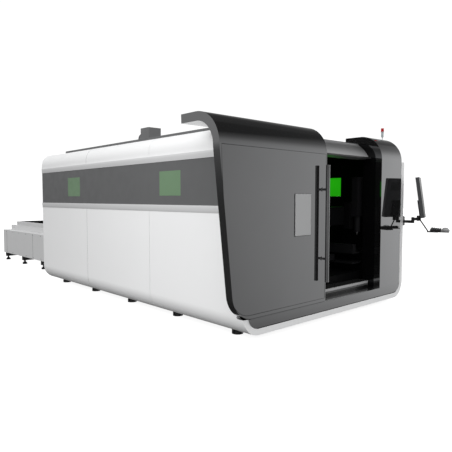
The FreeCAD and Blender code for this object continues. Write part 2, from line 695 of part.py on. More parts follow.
def table():
    """Outfeed table: two side panels and an end panel on cross beams with levelling feet."""
    inner = "table_half_width - table_skin"
    height = "beam_top - table_bottom"
    long_side = "table_rear - cabin_length"
    panels = [
        block(f"table_side_{word}",
              (f"{side} * (table_half_width - table_skin / 2) - table_skin / 2", "table_skin"),
              ("cabin_length", long_side), ("table_bottom", f"{height} + deck_thickness"),
              own=False)
        for word, side in SIDES
    ]
    panels.append(block("table_end", (f"-1 * ({inner}) + fit_gap", f"2 * ({inner}) - 2 * fit_gap"),
                        ("table_rear - table_skin", "table_skin"),
                        ("table_bottom", f"{height} - fit_gap"), own=False))
    joined("Part::Compound", "table_panels", panels)
    beams = []
    feet = []
    for index in range(int(number("table_beam_count"))):
        middle = f"table_beam_first + {index} * table_beam_pitch"
        low = "table_bottom - table_beam_height"
        beams.append(block(f"table_beam_{index}", ("-1 * table_half_width", "2 * table_half_width"),
                           (f"{middle} - table_beam_width / 2", "table_beam_width"),
                           (low, "table_beam_height"), own=False))
        for word, side in SIDES:
            place = (f"{side} * (table_half_width - table_foot_inset)", middle)
            feet.append(foot(f"table_foot_{word}_{index}", place, "table_foot_radius",
                             "table_foot_height", "foot_stem_radius", low))
    joined("Part::Compound", "table_beams", beams)
    joined("Part::Compound", "table_feet", feet)


def pallet(name, front, floor):
    """A pallet: a rim all round, filled with upright slats that lie across it."""
    inner = "pallet_half_width - pallet_rim"
    rim = [
        block(f"{name}_{word}", (f"{side} * (pallet_half_width - pallet_rim / 2) - pallet_rim / 2",
                                 "pallet_rim"), (front, "pallet_length"),
              (floor, "pallet_height"), own=False)
        for word, side in SIDES
    ]
    for word, start in (("near", front), ("far", f"{front} + pallet_length - pallet_rim")):
        rim.append(block(f"{name}_{word}", (f"-1 * ({inner})", f"2 * ({inner})"),
                         (start, "pallet_rim"), (floor, "pallet_height"), own=False))
    slats = int(number("(pallet_length - 2 * pallet_rim) / slat_pitch"))
    lead = f"({front} + (pallet_length - {slats - 1} * slat_pitch - slat_thickness) / 2)"
    for index in range(slats):
        rim.append(block(f"{name}_slat_{index}", (f"-1 * ({inner})", f"2 * ({inner})"),
                         (f"{lead} + {index} * slat_pitch", "slat_thickness"),
                         (floor, "pallet_height - slat_drop"), own=False))
    joined("Part::MultiFuse", name, rim)


# ---- operator station ----------------------------------------------------------------------------

def station_place(point=(0, 0, 0), lean=0):
    """A placement from the wrist's own frame, where the operator stands at -Y."""
    wrist = FreeCAD.Vector(number("wrist_x"), number("wrist_y"), 0)
    yaw = FreeCAD.Rotation(FreeCAD.Vector(0, 0, 1), 90 - number("station_yaw"))
    tilt = FreeCAD.Rotation(FreeCAD.Vector(1, 0, 0), -lean)
    return FreeCAD.Placement(wrist, yaw) * FreeCAD.Placement(FreeCAD.Vector(*point), tilt)


def laid(kind, name, things, placement):
    """A sub-part with a turned placement; it moves to the machine's frame at the end."""
    whole = DOC.addObject(kind, name)
    if kind == "Part::Compound":
        whole.Links = things
    elif kind == "Part::Cut":
        whole.Base, whole.Tool = things
    else:
        whole.Shapes = things
    whole.Placement = placement
    TURNED.append(whole)
    return register(whole, name)


def arm(name, start, end, foot_z):
    """A flat link with round ends between two upright pivots."""
    run = FreeCAD.Vector(number(end[0]) - number(start[0]), number(end[1]) - number(start[1]), 0)
    half = "arm_width / 2"
    length = f"sqrt((({end[0]}) - ({start[0]})) ^ 2 + (({end[1]}) - ({start[1]})) ^ 2)"
    round_end = "arm_width * 0.45"
    link_body = padded(f"{name}_link", "XY", ("0", "arm_height"), [[
        (f"-1 * {half}", f"-1 * {half}", round_end), (f"{length} + {half}", f"-1 * {half}", round_end),
        (f"{length} + {half}", half, round_end), (f"-1 * {half}", half, round_end),
    ]], own=False)
    base = FreeCAD.Vector(number(start[0]), number(start[1]), number(foot_z))
    turn = FreeCAD.Rotation(FreeCAD.Vector(1, 0, 0), run)
    laid("Part::Compound", name, [link_body], FreeCAD.Placement(base, turn))


def swing_arm():
    """Wall bracket with two ears, and the two links that carry the station."""
    reach = "arm_pivot_x + arm_width / 2 - cabin_width / 2"
    plate = "arm_pivot_x - arm_width / 2 - 2 - cabin_width / 2"
    across = ("arm_pivot_y - bracket_length / 2 + 20", "bracket_length")
    upper_foot = "lower_arm_bottom + arm_height + arm_gap"
    parts = [
        block("bracket_plate", (HALF, plate), across, ("bracket_bottom", "bracket_height"), own=False),
        block("bracket_low_ear", (HALF, reach), across,
              ("bracket_bottom", "lower_arm_bottom - arm_gap - bracket_bottom"), own=False),
        block("bracket_high_ear", (HALF, reach), across,
              (upper_foot, f"bracket_bottom + bracket_height - ({upper_foot})"), own=False),
    ]
    joined("Part::MultiFuse", "arm_bracket", parts)
    shoulder = ("arm_pivot_x", "arm_pivot_y")
    elbow = ("arm_pivot_x", "elbow_y")
    arm("lower_arm", shoulder, elbow, "lower_arm_bottom")
    arm("upper_arm", elbow, ("wrist_x", "wrist_y"), upper_foot)


def monitor():
    """Upright monitor that leans back a little, with its glass let into the front."""
    lean = station_place((0, -number("screen_back"), number("screen_bottom")), number("screen_tilt"))
    half = "screen_width / 2"
    case = padded("monitor_case", "XZ", ("-1 * screen_depth", "0"), [[
        (f"-1 * {half}", "0", "screen_corner"), (half, "0", "screen_corner"),
        (half, "screen_height", "screen_corner"), (f"-1 * {half}", "screen_height", "screen_corner"),
    ]], own=False)
    width = "screen_width - 2 * screen_bezel"
    height = "screen_height - 2 * screen_bezel"
    recess = block("monitor_recess", (f"-1 * ({width}) / 2", width),
                   ("-1 * screen_depth", "screen_glass"), ("screen_bezel", height), own=False)
    laid("Part::Cut", "monitor_housing", [case, recess], lean)
    glass = block("monitor_pane", (f"-1 * ({width}) / 2 + fit_gap", f"{width} - 2 * fit_gap"),
                  ("-1 * screen_depth", "screen_glass - fit_gap"),
                  ("screen_bezel + fit_gap", f"{height} - 2 * fit_gap"), own=False)
    laid("Part::Compound", "monitor_glass", [glass], lean)


def monitor_yoke():
    """Hub on the wrist, plate behind the monitor, and the slanting stem to the tray's foot."""
    arm_top = "lower_arm_bottom + 2 * arm_height + 2 * arm_gap"
    hub = rod("yoke_hub", ("0", "0", arm_top), "arm_width / 2", "yoke_hub_height", own=False)
    front = "-1 * screen_back + yoke_margin"
    apron = block("yoke_apron", ("-1 * yoke_width / 4", "yoke_width / 2"),
                  (front, "screen_back - yoke_margin - arm_width / 2 - 2"),
                  ("yoke_apron_bottom", f"{arm_top} + yoke_hub_height - yoke_apron_bottom"),
                  own=False)
    bridge = block("yoke_bridge", ("-1 * yoke_width / 4", "yoke_width / 2"),
                   (front, "screen_back - yoke_margin"), (arm_top, "yoke_hub_height"),
                   own=False)
    plate = block("yoke_plate", ("-1 * yoke_width / 2", "yoke_width"), ("fit_gap", "yoke_depth"),
                  (f"{arm_top} - screen_bottom + yoke_margin", "yoke_height"), own=False)
    leaning = DOC.addObject("Part::Compound", "yoke_lean")
    leaning.Links = [plate]
    leaning.Placement = FreeCAD.Placement(
        FreeCAD.Vector(0, -number("screen_back"), number("screen_bottom")),
        FreeCAD.Rotation(FreeCAD.Vector(1, 0, 0), -number("screen_tilt")))
    top = FreeCAD.Vector(0, -number("(screen_back - yoke_margin + arm_width / 2 + 2) / 2"),
                         number("yoke_apron_bottom + stem_radius"))
    tip = FreeCAD.Vector(0, -number("tray_start - 2.5 * stem_radius"),
                         number("tray_z - tray_foot_skin"))
    stem = DOC.addObject("Part::Cylinder", "yoke_stem")
    bind(stem, Radius="stem_radius")
    stem.Height = (tip - top).Length
    stem.Placement = FreeCAD.Placement(top, FreeCAD.Rotation(FreeCAD.Vector(0, 0, 1), tip - top))
    tray_foot = block("yoke_foot", ("-1 * tray_foot / 2", "tray_foot"),
                      ("-1 * (tray_start + tray_foot)", "tray_foot + 4 * stem_radius"),
                      ("tray_z - tray_foot_skin - stem_radius", "tray_foot_skin + stem_radius"),
                      own=False)
    things = [hub, apron, bridge, leaning, stem, tray_foot]
    laid("Part::MultiFuse", "monitor_yoke", things, station_place())


def tray():
    """Keyboard tray on the stem's foot, with the keyboard and the mouse resting on it."""
    half = "tray_width / 2"
    far = "-1 * (tray_start + tray_depth)"
    near = "-1 * tray_start"
    slab = padded("tray_slab", "XY", ("tray_z + fit_gap", "tray_z + tray_thickness"), [[
        (f"-1 * {half}", far, "tray_corner"), (half, far, "tray_corner"),
        (half, near, "tray_corner"), (f"-1 * {half}", near, "tray_corner"),
    ]], own=False)
    laid("Part::Compound", "keyboard_tray", [slab], station_place())
    top = "tray_z + tray_thickness + fit_gap"
    rear = "-1 * (tray_start + 12)"
    keys = padded("keyboard_wedge", "YZ", ("-1 * keyboard_width / 2", "keyboard_width / 2"), [[
        (f"{rear} - keyboard_depth", top), (f"{rear}", top), (f"{rear}", f"{top} + keyboard_height"),
        (f"{rear} - keyboard_depth", f"{top} + keyboard_height / 2"),
    ]], own=False)
    laid("Part::Compound", "keyboard", [keys], station_place())
    mouse_rear = f"{rear} - keyboard_depth - 8"
    left = "mouse_x - mouse_width / 2"
    right = "mouse_x + mouse_width / 2"
    plan = padded("mouse_plan", "XY", (top, f"{top} + mouse_height"), [[
        (left, f"{mouse_rear} - mouse_depth", "mouse_width * 0.45"),
        (right, f"{mouse_rear} - mouse_depth", "mouse_width * 0.45"),
        (right, mouse_rear, "mouse_width * 0.4"), (left, mouse_rear, "mouse_width * 0.4"),
    ]], own=False)
    profile = padded("mouse_profile", "YZ", (left, right), [[
        (f"{mouse_rear} - mouse_depth", top), (mouse_rear, top),
        (mouse_rear, f"{top} + mouse_height", "mouse_height * 0.8"),
        (f"{mouse_rear} - mouse_depth", f"{top} + mouse_height", "mouse_height * 0.9"),
    ]], own=False)
    whole = DOC.addObject("Part::Common", "mouse")
    whole.Base = plan
    whole.Tool = profile
    whole.Placement = station_place()
    TURNED.append(whole)
    register(whole, "mouse")


# ---- assembly --------------------------------------------------------------------------------------

def settle_frame():
    """Puts the origin under the middle of the whole machine, on the floor."""
    box = FreeCAD.BoundBox()
    for piece in PIECES:
        box.add(piece.Shape.optimalBoundingBox(False))
    middle = (box.Center.x, box.Center.y, box.ZMin)
    for alias, value in zip(("frame_x", "frame_y", "frame_z"), middle):
        SHEET.set(CELLS[alias], f"{value:.6f}")
    for piece in TURNED:
        piece.Placement.Base = piece.Placement.Base - FreeCAD.Vector(*middle)
    DOC.recompute()
    print("frame", *(f"{value:.6f}" for value in middle))


def export():
    """Checks every object, then writes one STEP file for each sub-part."""
    for thing in DOC.Objects:
        if {"Invalid", "Error"} & set(thing.State):
            raise RuntimeError(f"{thing.Name} failed: {thing.State}")
    for piece in PIECES:
        if piece.Shape.isNull() or not piece.Shape.isValid() or not piece.Shape.Solids:
            raise RuntimeError(f"{piece.Label} has no valid solid")
    os.makedirs("parts", exist_ok=True)
    for piece in PIECES:
        piece.Shape.exportStep(os.path.join("parts", f"{piece.Label}.step"))


def build():
    fill_sheet()
    for word, side in SIDES:
        lower_panels(word, side)
        trims(word, side)
        window_band(word, side)
        upper_panels(word, side)
    roof()
    duct()
    rear_wall()
    front_lip()
    front_skirt()
    door()
    door_handle()
    door_running_gear()
    header()
    fixed_front()
    warning_lamp()
    bed()
    pallet_rails("cabin_pallet_rails", "bed_front", "bed_rear", "beam_inner + beam_width / 3",
                 "beam_inner")
    pallet_rails("table_pallet_rails", "cabin_length", "table_rear - table_skin",
                 "table_half_width - table_skin", "table_half_width - table_skin")
    gantry()
    table()
    pallet("upper_pallet", "pallet_front", "upper_rail_top + pallet_lift")
    pallet("lower_pallet", "pallet_front - pallet_travel", "ledge_top + pallet_lift")
    swing_arm()
    monitor()
    monitor_yoke()
    tray()
    DOC.recompute()
    settle_frame()
    export()


build()
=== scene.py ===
"""Looks of the fiber laser cutting machine: finishes, fine details, studio light and camera."""
import json
import math

import bmesh
import bpy
from mathutils import Matrix, Vector


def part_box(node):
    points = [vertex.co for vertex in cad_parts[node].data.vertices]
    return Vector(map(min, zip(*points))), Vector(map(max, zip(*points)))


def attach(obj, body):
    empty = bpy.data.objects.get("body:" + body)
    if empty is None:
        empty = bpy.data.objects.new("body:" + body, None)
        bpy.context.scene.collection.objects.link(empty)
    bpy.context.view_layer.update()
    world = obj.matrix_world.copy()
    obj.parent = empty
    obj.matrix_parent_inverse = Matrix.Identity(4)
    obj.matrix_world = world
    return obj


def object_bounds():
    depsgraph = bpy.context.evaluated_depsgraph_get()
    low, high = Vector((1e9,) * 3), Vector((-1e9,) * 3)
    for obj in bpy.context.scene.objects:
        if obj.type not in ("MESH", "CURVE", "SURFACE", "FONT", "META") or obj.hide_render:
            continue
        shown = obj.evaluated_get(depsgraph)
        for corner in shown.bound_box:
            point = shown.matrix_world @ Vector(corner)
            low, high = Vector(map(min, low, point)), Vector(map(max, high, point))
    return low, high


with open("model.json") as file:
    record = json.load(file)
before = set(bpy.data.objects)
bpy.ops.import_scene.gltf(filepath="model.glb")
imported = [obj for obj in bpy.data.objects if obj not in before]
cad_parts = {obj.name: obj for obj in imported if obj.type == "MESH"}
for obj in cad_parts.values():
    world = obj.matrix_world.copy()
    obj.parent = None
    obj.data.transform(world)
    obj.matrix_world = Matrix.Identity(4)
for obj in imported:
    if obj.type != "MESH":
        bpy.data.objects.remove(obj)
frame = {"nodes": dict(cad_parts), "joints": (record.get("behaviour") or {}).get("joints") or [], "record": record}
CAD_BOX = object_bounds()
MM = 0.001
JOINTS = {joint["name"]: joint for joint in frame["joints"]}


def low(node):
    return Vector(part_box(node)[0])


def high(node):
    return Vector(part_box(node)[1])


# Places below are millimetres from the cabin's middle plane, the door's front face and the floor.
ORIGIN = Vector(((low("left_lower_panel_1").x + high("right_lower_panel_1").x) / 2,
                 low("door_shell").y, 0))


def at(x, y, z):
    return ORIGIN + Vector((x, y, z)) * MM


def place_of(point):
    """A point of the CAD frame in millimetres from ORIGIN."""
    return (point - ORIGIN) / MM


def ends(node):
    """Both corners of a CAD node's box, in millimetres from ORIGIN."""
    return place_of(low(node)), place_of(high(node))


HALF_WIDTH = place_of(high("right_lower_panel_1")).x
CABIN_REAR = place_of(high("rear_wall")).y
CABIN = (low("left_lower_panel_1"),
         Vector((high("right_lower_panel_3").x, high("right_lower_panel_3").y,
                 high("right_upper_panels").z)))


# ---- node helpers --------------------------------------------------------------------------------

NOISE_SPAN = (0.3, 0.7)


def new_material(name):
    """A material with an empty tree, its output and a Principled shader."""
    material = bpy.data.materials.new(name)
    material.use_nodes = True
    tree = material.node_tree
    tree.nodes.clear()
    output = tree.nodes.new("ShaderNodeOutputMaterial")
    shader = tree.nodes.new("ShaderNodeBsdfPrincipled")
    tree.links.new(shader.outputs["BSDF"], output.inputs["Surface"])
    return material, tree, shader


def noise(tree, scale, detail=3.0, stretch=None):
    """Smooth noise on the object, with an optional stretch along the axes."""
    texture = tree.nodes.new("ShaderNodeTexNoise")
    texture.inputs["Scale"].default_value = scale
    texture.inputs["Detail"].default_value = detail
    source = tree.nodes.new("ShaderNodeTexCoord").outputs["Object"]
    if stretch:
        mapping = tree.nodes.new("ShaderNodeMapping")
        mapping.inputs["Scale"].default_value = stretch
        tree.links.new(source, mapping.inputs["Vector"])
        source = mapping.outputs["Vector"]
    tree.links.new(source, texture.inputs["Vector"])
    return texture.outputs["Fac"]


def spread(tree, value, to_low, to_high):
    """Maps the usual span of a noise to the range between to_low and to_high."""
    node = tree.nodes.new("ShaderNodeMapRange")
    node.inputs["From Min"].default_value = NOISE_SPAN[0]
    node.inputs["From Max"].default_value = NOISE_SPAN[1]
    node.inputs["To Min"].default_value = to_low
    node.inputs["To Max"].default_value = to_high
    tree.links.new(value, node.inputs["Value"])
    return node.outputs["Result"]


def blend(tree, factor, first, second, mode="MIX"):
    """Blends two colours by a factor; each of the three is a number, a colour or a socket."""
    node = tree.nodes.new("ShaderNodeMix")
    node.data_type = "RGBA"
    node.blend_type = mode
    for key, value in (("Factor", factor), ("A", first), ("B", second)):
        if isinstance(value, bpy.types.NodeSocket):
            tree.links.new(value, node.inputs[key])
        elif isinstance(value, (int, float)):
            node.inputs[key].default_value = value
        else:
            node.inputs[key].default_value = (*value, 1)
    return node.outputs["Result"]


def shaded(colour, factor):
    return tuple(min(1.0, channel * factor) for channel in colour)


def bump(tree, shader, height, strength, distance):
    node = tree.nodes.new("ShaderNodeBump")
    node.inputs["Strength"].default_value = strength
    node.inputs["Distance"].default_value = distance
    tree.links.new(height, node.inputs["Height"])
    tree.links.new(node.outputs["Normal"], shader.inputs["Normal"])


def level_ramp(tree, value, stops):
    """A curve of (input, output) stops, straight between them."""
    node = tree.nodes.new("ShaderNodeValToRGB")
    band = node.color_ramp
    band.elements.remove(band.elements[1])
    for index, (place, level) in enumerate(stops):
        stop = band.elements[0] if index == 0 else band.elements.new(place)
        stop.position = place
        stop.color = (level, level, level, 1)
    tree.links.new(value, node.inputs["Fac"])
    return node.outputs["Color"]


def object_axes(tree):
    """The object's own coordinates, in metres, as X, Y and Z sockets."""
    coordinate = tree.nodes.new("ShaderNodeTexCoord").outputs["Object"]
    parts = tree.nodes.new("ShaderNodeSeparateXYZ")
    tree.links.new(coordinate, parts.inputs["Vector"])
    return parts.outputs


def mottled(tree, texture, colour, darkest, lightest):
    """A colour that a noise moves between two shares of its brightness."""
    share = spread(tree, texture, 0.0, 1.0)
    return blend(tree, share, shaded(colour, darkest), shaded(colour, lightest))


def arithmetic(tree, operation, *values):
    node = tree.nodes.new("ShaderNodeMath")
    node.operation = operation
    for socket, value in zip(node.inputs, values):
        if isinstance(value, (int, float)):
            socket.default_value = value
        else:
            tree.links.new(value, socket)
    return node.outputs["Value"]


def paint_shade_by_height(tree, base, stops):
    """Paints shade, highlight or reflection into a colour by height: stops are (millimetres above the floor,
    factor).
    """
    top = stops[-1][0]
    fraction = arithmetic(tree, "DIVIDE", object_axes(tree)["Z"], top * MM)
    levels = level_ramp(tree, fraction, [(z / top, factor) for z, factor in stops])
    return blend(tree, 1.0, base, levels, "MULTIPLY")


def facing_inwards(tree):
    """1 on faces that look at the cabin's middle, 0 on faces that look away from it: the mask for the painted
    shade inside the cabin.
    """
    geometry = tree.nodes.new("ShaderNodeNewGeometry")
    offset = tree.nodes.new("ShaderNodeVectorMath")
    offset.operation = "SUBTRACT"
    offset.inputs[1].default_value = (CABIN[0] + CABIN[1]) / 2
    tree.links.new(geometry.outputs["Position"], offset.inputs[0])
    dot = tree.nodes.new("ShaderNodeVectorMath")
    dot.operation = "DOT_PRODUCT"
    tree.links.new(offset.outputs["Vector"], dot.inputs[0])
    tree.links.new(geometry.outputs["Normal"], dot.inputs[1])
    return arithmetic(tree, "LESS_THAN", dot.outputs["Value"], -0.05)


def coat(name, colour, rough, metallic=0.0, vary=0.04, peel=0.02, clear=0.0, inner=None,
         heights=None, specular=0.5):
    """Sprayed paint: faint mottling, uneven gloss and a slow ripple.

    With inner given, faces that look towards the cabin's middle take that colour as a painted shade
    for the dark inside of the cabin; with heights given, the colour takes painted shade, highlight
    or reflection by height.
    """
    material, tree, shader = new_material(name)
    base = mottled(tree, noise(tree, 1.3, 4.0), colour, 1 - vary, 1 + vary)
    # Painted shade, highlight or reflection by height.
    if heights:
        base = paint_shade_by_height(tree, base, heights)
    # Painted shade: faces that look into the cabin take a near-black colour.
    if inner:
        base = blend(tree, facing_inwards(tree), base, inner)
    tree.links.new(base, shader.inputs["Base Color"])
    gloss = spread(tree, noise(tree, 7.0, 2.0), rough * 0.85, rough * 1.15)
    tree.links.new(gloss, shader.inputs["Roughness"])
    shader.inputs["Metallic"].default_value = metallic
    shader.inputs["Coat Weight"].default_value = clear
    shader.inputs["Coat Roughness"].default_value = 0.05
    shader.inputs["Specular IOR Level"].default_value = specular
    if peel:
        bump(tree, shader, noise(tree, 6.0, 1.0), peel, 0.002)
    return material


def steel(name, colour, rough):
    """Ground steel with a fine grain along one way."""
    material, tree, shader = new_material(name)
    lines = noise(tree, 60.0, 5.0, (1.0, 1.0, 14.0))
    tree.links.new(mottled(tree, lines, colour, 0.85, 1.1), shader.inputs["Base Color"])
    tree.links.new(spread(tree, lines, rough * 0.8, rough * 1.3), shader.inputs["Roughness"])
    shader.inputs["Metallic"].default_value = 1.0
    bump(tree, shader, lines, 0.06, 0.0003)
    return material


def glass(name, colour, rough, through, mottle=0.06):
    """A tinted pane; through is the share of light that it lets pass."""
    material, tree, shader = new_material(name)
    haze = noise(tree, 3.0, 3.0)
    tree.links.new(mottled(tree, haze, colour, 1 - mottle, 1 + mottle),
                   shader.inputs["Base Color"])
    gloss = spread(tree, noise(tree, 12.0), rough * 0.8, rough * 1.2)
    tree.links.new(gloss, shader.inputs["Roughness"])
    shader.inputs["Transmission Weight"].default_value = through
    shader.inputs["IOR"].default_value = 1.45
    return material


def slatted_steel(name, colour):
    """Pallet steel: a light rim, and cut-stained dark slats inside it."""
    material, tree, shader = new_material(name)
    lines = noise(tree, 40.0, 4.0, (1.0, 1.0, 6.0))
    rim = mottled(tree, lines, colour, 0.85, 1.1)
    offset = arithmetic(tree, "SUBTRACT", object_axes(tree)["X"], PALLET_MIDDLE)
    inside = arithmetic(tree, "LESS_THAN", arithmetic(tree, "ABSOLUTE", offset), PALLET_INNER)
    tree.links.new(blend(tree, inside, rim, SHADE_AND_STAIN_DARK), shader.inputs["Base Color"])
    tree.links.new(spread(tree, lines, 0.45, 0.65), shader.inputs["Roughness"])
    shader.inputs["Specular IOR Level"].default_value = 0.2
    bump(tree, shader, lines, 0.05, 0.0005)
    return material


def glowing_pane(name, colour):
    """The green pane seen from inside the dark cabin: it glows with painted light that stands in for the daylight
    coming through it.
    """
    material, tree, shader = new_material(name)
    haze = noise(tree, 2.0, 2.0)
    tree.links.new(mottled(tree, haze, colour, 0.8, 1.15), shader.inputs["Emission Color"])
    shader.inputs["Emission Strength"].default_value = 1.0
    shader.inputs["Base Color"].default_value = (*shaded(colour, 0.1), 1)
    shader.inputs["Roughness"].default_value = 0.3
    return material


# ---- finishes ------------------------------------------------------------------------------------

# Near black: the painted shade on faces that look into the cabin, and the cut stains on the pallet slats.
SHADE_AND_STAIN_DARK = (0.004, 0.0041, 0.0045)
PALLET_RIM = 60 * MM
PALLET_MIDDLE = (low("upper_pallet").x + high("upper_pallet").x) / 2
PALLET_INNER = (high("upper_pallet").x - low("upper_pallet").x) / 2 - PALLET_RIM
# Painted light by height: painted shade and highlight on the trim and sill, and a painted reflection on the
# header: (millimetres above the floor, factor).
TRIM_PAINTED_LIGHT = [(0, 1.0), (1352, 0.70), (1375, 0.84), (1410, 0.95), (1432, 1.06), (1962, 1.06),
                (1963, 0.84), (1985, 0.88), (2010, 0.93), (2028, 1.08), (2040, 1.12)]
HEADER_PAINTED_REFLECTION = [(0, 1.0), (2066, 1.7), (2100, 1.5), (2150, 1.0), (2190, 0.6), (2240, 0.4),
                  (2270, 0.8), (2290, 1.0)]
SILL_PAINTED_LIGHT = [(0, 0.02), (284, 0.02), (286, 0.22), (308, 0.22), (311, 1.0), (341, 1.0),
                (345, 0.04), (346, 0.04)]

FINISHES = {
    # The shell, trim and band are painted near black on faces that look into the cabin, as the shade inside it.
    "white_shell": coat("white_shell", (0.84, 0.844, 0.848), 0.4, vary=0.006, peel=0.0,
                        inner=SHADE_AND_STAIN_DARK),
    # The trim takes painted shade and highlight by height: lighter top edges, darker below.
    "trim_grey": coat("trim_grey", (0.64, 0.643, 0.648), 0.4, vary=0.01, peel=0.0, inner=SHADE_AND_STAIN_DARK,
                      heights=TRIM_PAINTED_LIGHT),
    "band_dark": coat("band_dark", (0.112, 0.114, 0.116), 0.4, vary=0.02, peel=0.0, inner=SHADE_AND_STAIN_DARK),
    "door_grey": coat("door_grey", (0.25, 0.252, 0.256), 0.03, metallic=0.97, vary=0.02,
                      peel=0.004),
    # The header takes a painted reflection by height: lighter low down, darker higher up.
    "header_grey": coat("header_grey", (0.26, 0.262, 0.265), 0.4, metallic=0.2, vary=0.02,
                        heights=HEADER_PAINTED_REFLECTION),
    # The sill takes a painted highlight along its top and painted shade below it.
    "sill_grey": coat("sill_grey", (0.42, 0.422, 0.426), 0.3, vary=0.05, heights=SILL_PAINTED_LIGHT),
    "rail_grey": coat("rail_grey", (0.03, 0.0303, 0.031), 0.4, vary=0.08),
    "black_paint": coat("black_paint", (0.012, 0.012, 0.013), 0.3, clear=0.2, vary=0.1),
    "jamb_gloss": coat("jamb_gloss", (0.003, 0.003, 0.0033), 0.1, vary=0.1, specular=0.3),
    "bright_steel": steel("bright_steel", (0.5, 0.505, 0.51), 0.25),
    "handle_black": coat("handle_black", (0.34, 0.342, 0.346), 0.16, metallic=0.95, vary=0.06,
                         peel=0.003),
    "door_pane": glass("door_pane", (0.42, 0.424, 0.428), 0.4, 0.0, mottle=0.02),
    "window_green": glass("window_green", (0.145, 0.24, 0.14), 0.4, 0.0, mottle=0.02),
    "lamp_grey": coat("lamp_grey", (0.42, 0.47, 0.48), 0.3, clear=0.3),
    "lamp_red": glass("lamp_red", (0.75, 0.015, 0.02), 0.2, 0.35),
    "bed_paint": coat("bed_paint", (0.004, 0.0041, 0.0044), 0.5, vary=0.1, specular=0.06),
    "head_black": coat("head_black", (0.01, 0.01, 0.011), 0.4, vary=0.1, specular=0.1),
    "table_white": coat("table_white", (0.62, 0.623, 0.627), 0.4, vary=0.015),
    "pallet_steel": slatted_steel("pallet_steel", (0.55, 0.553, 0.557)),
    "monitor_grey": coat("monitor_grey", (0.075, 0.076, 0.08), 0.4, vary=0.03, specular=0.3),
    "screen_black": coat("screen_black", (0.006, 0.006, 0.008), 0.08, clear=0.5, vary=0.1),
    "key_black": coat("key_black", (0.02, 0.02, 0.021), 0.45, vary=0.1),
    "mouse_grey": coat("mouse_grey", (0.55, 0.555, 0.56), 0.35, vary=0.03),
    # Painted glow on the inner window sheets, standing in for daylight through the panes.
    "window_glow": glowing_pane("window_glow", (0.012, 0.30, 0.004)),
    "groove_dark": coat("groove_dark", (0.004, 0.004, 0.0045), 0.6, vary=0.1),
    "duct_grey": coat("duct_grey", (0.16, 0.162, 0.165), 0.4, clear=0.1, vary=0.05),
    # Painted shade: a near-black finish for steel parts inside the dark cabin.
    "inside_shade_black": coat("inside_shade_black", (0.012, 0.012, 0.013), 0.45, vary=0.1, specular=0.1),
}
# Nodes whose finish isn't the one that their slot names. The rails and the lower pallet inside the cabin are
# painted near black, as painted shade for the cabin's dark inside.
SPECIAL = {"right_jamb": "jamb_gloss", "header": "header_grey", "door_rail": "rail_grey",
           "duct_box": "duct_grey", "gantry_rails": "inside_shade_black", "sill_track": "sill_grey",
           "cabin_pallet_rails": "inside_shade_black", "lower_pallet": "inside_shade_black"}
# Widths of rounded edges, in millimetres. The bracket and the arms stay sharp: rounded, they touch.
BEVELS = {"duct_box": 4, "monitor_housing": 3, "keyboard_tray": 3, "lamp_lens": 5, "lamp_base": 2,
          "door_handle": 3, "door_glass": 4, "table_panels": 3, "cabin_feet": 4, "table_feet": 4,
          "keyboard": 3, "sill_track": 4, "upper_pallet": 2, "roof_cover": 6, "cutting_head": 4,
          "carriage": 4, "lifting_slide": 4, "gantry_beam": 5}

slot_of = {row["node"]: row["material_slot"] for row in frame["record"]["subparts"]}
for node, thing in frame["nodes"].items():
    thing.data.materials.clear()
    thing.data.materials.append(FINISHES[SPECIAL.get(node, slot_of[node])])


def round_edges(thing, millimetres):
    """Welds the faces of a mesh and rounds its sharp edges."""
    weld = thing.modifiers.new("weld", "WELD")
    weld.merge_threshold = 0.00002
    bevel = thing.modifiers.new("bevel", "BEVEL")
    bevel.width = millimetres * MM
    bevel.segments = 3
    bevel.limit_method = "ANGLE"
    bevel.angle_limit = math.radians(35)


for node, width in BEVELS.items():
    round_edges(frame["nodes"][node], width)


# ---- new pieces ----------------------------------------------------------------------------------

